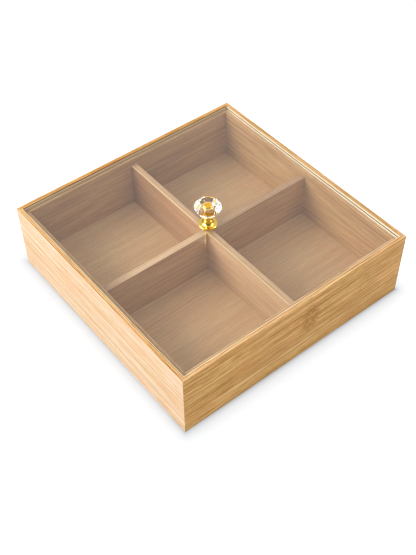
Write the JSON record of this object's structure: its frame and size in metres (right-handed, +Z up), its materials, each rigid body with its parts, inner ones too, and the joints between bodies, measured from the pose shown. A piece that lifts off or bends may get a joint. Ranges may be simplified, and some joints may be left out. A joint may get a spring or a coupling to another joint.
{
  "type": "wooden compartment box",
  "caption": "Square bamboo serving and keepsake box with mitred walls, crossed dividers and a clear lift-off lid with a cut crystal knob.",
  "frame": {"origin": "middle of the underside of the box, on the surface it stands on", "axes": "+Z up, X along the front wall, Y from the front wall to the back wall"},
  "size_m": [0.25, 0.25, 0.0955],
  "materials": {
    "bamboo_wall": "satin lacquer over laminated bamboo",
    "bamboo_panel": "satin lacquer over bamboo ply",
    "spline_wood": "bare bamboo",
    "clear_sheet": "polished clear acrylic",
    "crystal": "cut and polished crystal glass",
    "polished_gold": "polished gold plating",
    "plated_steel": "bright zinc plating"
  },
  "bodies": {
    "box": {"front_wall": "bamboo_wall", "right_wall": "bamboo_wall", "back_wall": "bamboo_wall", "left_wall": "bamboo_wall", "bottom_panel": "bamboo_panel", "long_divider": "bamboo_panel", "cross_divider": "bamboo_panel", "corner_spline_front_left": "spline_wood", "corner_spline_front_right": "spline_wood", "corner_spline_back_right": "spline_wood", "corner_spline_back_left": "spline_wood"},
    "lid": {"lid_panel": "clear_sheet", "knob_base": "polished_gold", "knob_crystal": "crystal", "knob_insert": "polished_gold", "knob_washer": "plated_steel", "knob_screw": "plated_steel"}
  },
  "joints": [
    {"name": "lid_lift", "type": "slide", "parent": "box", "child": "lid", "axis": [0, 0, 1], "range_m": [0, 0.06]}
  ]
}
